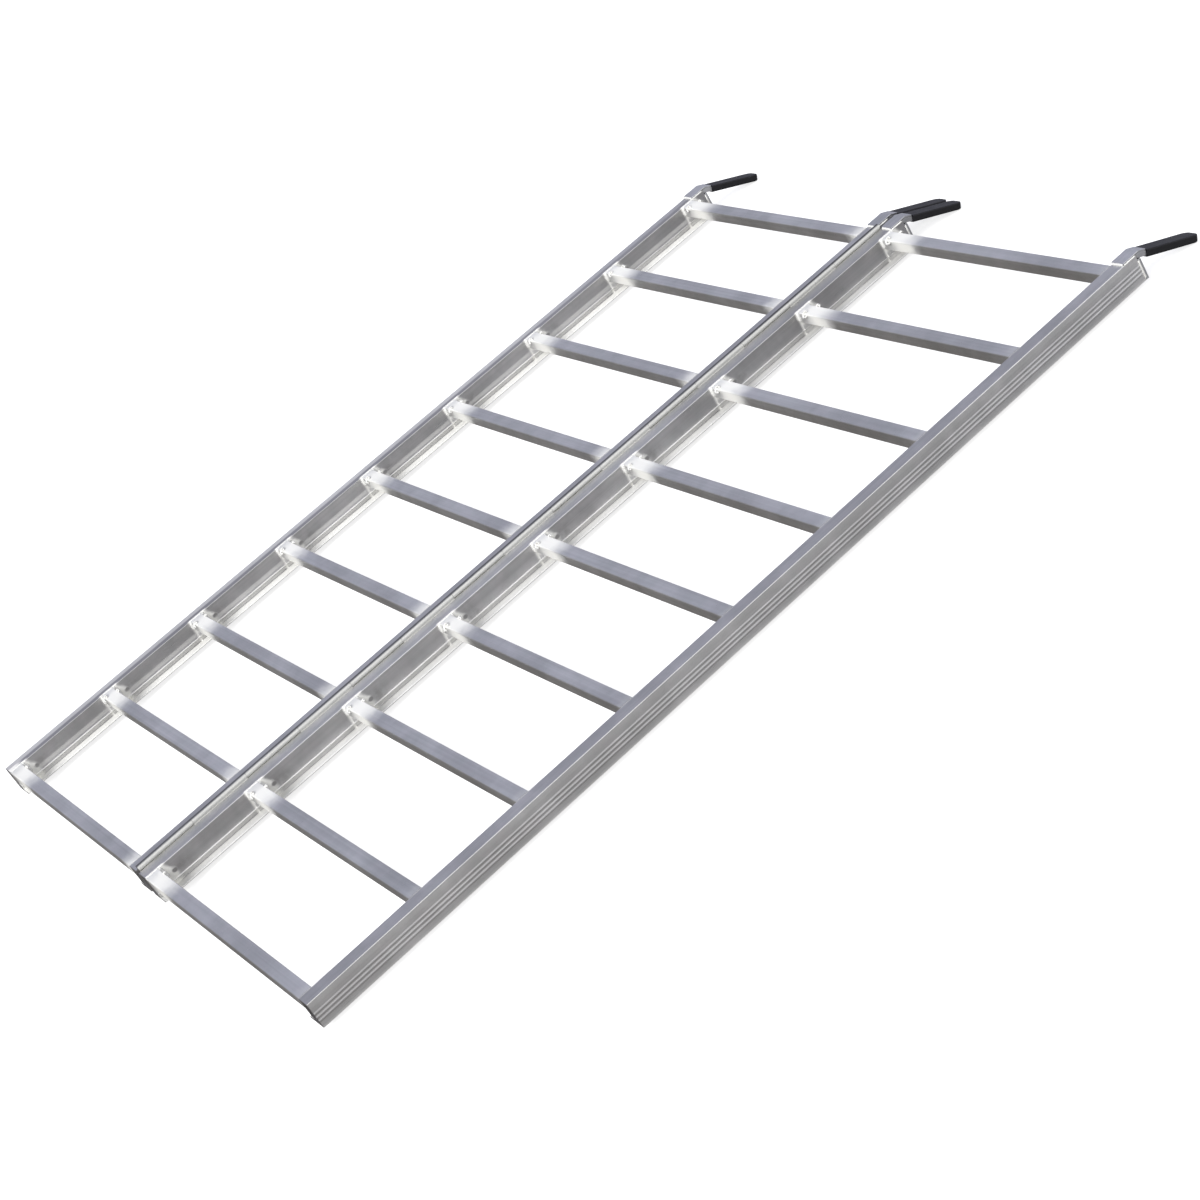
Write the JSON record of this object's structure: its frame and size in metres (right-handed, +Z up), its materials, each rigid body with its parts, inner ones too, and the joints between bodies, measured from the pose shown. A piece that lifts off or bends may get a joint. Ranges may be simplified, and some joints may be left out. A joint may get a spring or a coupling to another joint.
{
  "type": "folding loading ramp",
  "caption": "Folding aluminium loading ramp: ladder-style panels joined by a full-length centre hinge, with rubber-sleeved fingers that rest on a tailgate.",
  "frame": {"origin": "centre of the bounding box's base, on the ground plane that the finger tips touch, with the ramp open and its rails level", "axes": "+X across the ramp to the right panel, +Y up the ramp towards the fingers, +Z up out of the rungs"},
  "size_m": [1.275, 1.879, 0.0718],
  "materials": {
    "rail_aluminium": "mill-finish extrusion with fine lengthwise grain",
    "rung_aluminium": "mill-finish square tube, lightly scratched",
    "bracket_aluminium": "cut flat bar, cleaned bright at the welds",
    "hinge_aluminium": "extruded hinge, satin",
    "pin_steel": "plain drawn rod",
    "sleeve_rubber": "moulded black rubber, satin"
  },
  "bodies": {
    "left_panel": {"left_outer_rail": "rail_aluminium", "left_inner_rail": "rail_aluminium", "left_rung_1": "rung_aluminium", "left_rung_2": "rung_aluminium", "left_rung_3": "rung_aluminium", "left_rung_4": "rung_aluminium", "left_rung_5": "rung_aluminium", "left_rung_6": "rung_aluminium", "left_rung_7": "rung_aluminium", "left_rung_8": "rung_aluminium", "left_rung_9": "rung_aluminium", "left_outer_finger_strap": "bracket_aluminium", "left_outer_finger_bar": "bracket_aluminium", "left_outer_end_plate": "bracket_aluminium", "left_outer_finger_sleeve": "sleeve_rubber", "left_inner_finger_strap": "bracket_aluminium", "left_inner_finger_bar": "bracket_aluminium", "left_inner_end_plate": "bracket_aluminium", "left_inner_finger_sleeve": "sleeve_rubber", "left_hinge_leaf": "hinge_aluminium", "hinge_pin": "pin_steel"},
    "right_panel": {"right_outer_rail": "rail_aluminium", "right_inner_rail": "rail_aluminium", "right_rung_1": "rung_aluminium", "right_rung_2": "rung_aluminium", "right_rung_3": "rung_aluminium", "right_rung_4": "rung_aluminium", "right_rung_5": "rung_aluminium", "right_rung_6": "rung_aluminium", "right_rung_7": "rung_aluminium", "right_rung_8": "rung_aluminium", "right_rung_9": "rung_aluminium", "right_outer_finger_strap": "bracket_aluminium", "right_outer_finger_bar": "bracket_aluminium", "right_outer_end_plate": "bracket_aluminium", "right_outer_finger_sleeve": "sleeve_rubber", "right_inner_finger_strap": "bracket_aluminium", "right_inner_finger_bar": "bracket_aluminium", "right_inner_end_plate": "bracket_aluminium", "right_inner_finger_sleeve": "sleeve_rubber", "right_hinge_leaf": "hinge_aluminium"}
  },
  "joints": [
    {"name": "panel_fold", "type": "hinge", "parent": "left_panel", "child": "right_panel", "pos_m": [0, 0, 0.06625], "axis": [0, -1, 0], "range_deg": [0, 180]}
  ]
}
